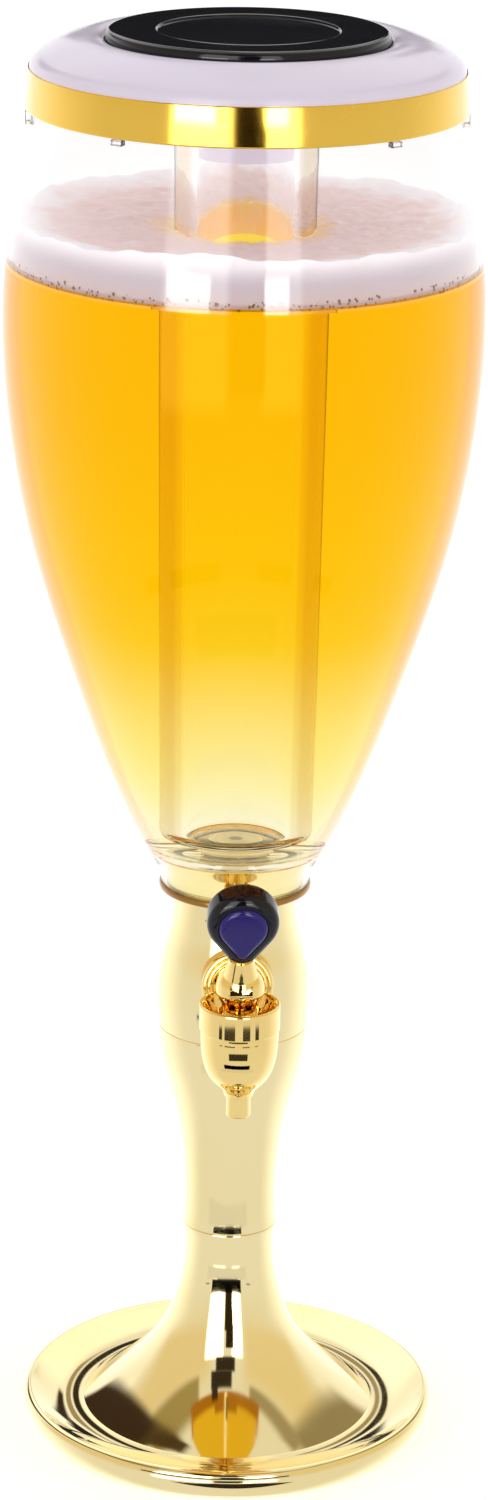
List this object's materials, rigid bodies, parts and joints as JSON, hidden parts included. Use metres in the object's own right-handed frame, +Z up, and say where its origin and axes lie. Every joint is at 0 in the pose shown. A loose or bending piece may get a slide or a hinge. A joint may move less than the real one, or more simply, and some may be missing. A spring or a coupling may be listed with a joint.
{
  "type": "beer tower dispenser",
  "caption": "Tabletop drink tower: clear goblet tank on a plated stem and flared foot, with a lever tap, a lift-off lid, a central cap and an ice tube.",
  "frame": {"origin": "middle of the resting face, under the tower's axis", "axes": "+Z up along the tower's axis, -Y towards the tap, +X to the right of someone who stands in front of the tap and faces the tower"},
  "size_m": [0.1818, 0.1818, 0.5609],
  "materials": {
    "gold_plate": "gold-plated, mirror polish",
    "gold_metal": "gold-plated, mirror polish",
    "white_lid": "white, high gloss",
    "black_gloss": "black, high gloss",
    "black_matt": "black, fine texture",
    "clear_plastic": "clear, polished",
    "indigo_badge": "indigo, domed gloss",
    "rubber_dark": "black rubber",
    "silicone": "translucent silicone",
    "steel": "zinc-plated steel",
    "iron": "cast, dark",
    "inner_plastic": "light grey moulding"
  },
  "bodies": {
    "tower": {"foot_shell": "gold_plate", "base_plate": "black_matt", "grip_ring": "rubber_dark", "plate_screws": "steel", "ballast": "iron", "tie_bolt": "steel", "tie_washer": "steel", "tie_nut": "steel", "neck_sleeve": "inner_plastic", "stem_column": "gold_plate", "stem_head": "gold_plate", "stem_collar": "gold_plate", "tank_nut": "inner_plastic", "tank_gasket": "silicone", "tank": "clear_plastic", "drain_gasket": "silicone", "drain_fitting": "gold_metal", "drain_nut": "gold_metal", "outlet_hose": "silicone", "upper_hose_clip": "steel", "tap_hose_clip": "steel", "escutcheon": "gold_metal", "shank_saddle": "inner_plastic", "shank_nut": "gold_metal", "tap_body": "gold_metal", "gland": "gold_metal"},
    "valve": {"valve_spindle": "steel", "valve_cup": "silicone", "valve_spring": "steel"},
    "lever": {"tap_lever": "gold_metal", "lever_pin": "steel", "knob_stud": "steel", "knob_body": "black_gloss", "knob_badge": "indigo_badge"},
    "lid": {"lid_shell": "white_lid", "lid_band": "gold_plate", "lid_liner": "white_lid", "lid_seal": "silicone", "ice_tube": "clear_plastic", "tube_ring": "silicone"},
    "cap": {"centre_cap": "black_gloss", "cap_seal": "rubber_dark"}
  },
  "joints": [
    {"name": "lid_lift", "type": "slide", "parent": "tower", "child": "lid", "axis": [0, 0, 1], "range_m": [0, 0.33]},
    {"name": "cap_lift", "type": "slide", "parent": "lid", "child": "cap", "axis": [0, 0, 1], "range_m": [0, 0.06]},
    {"name": "valve_lift", "type": "slide", "parent": "tower", "child": "valve", "axis": [0, 0, 1], "range_m": [0, 0.00211], "deforming": ["valve_spring"]},
    {"name": "lever_tilt", "type": "hinge", "parent": "valve", "child": "lever", "pos_m": [0, -0.048, 0.201], "axis": [1, 0, 0], "range_deg": [0, 25], "stiffness_Nm_per_rad": 0.1, "springref_deg": -17.19}
  ],
  "couplings": [
    {"joint": "valve_lift", "follows": "lever_tilt", "m_per_rad": 0.004843}
  ]
}
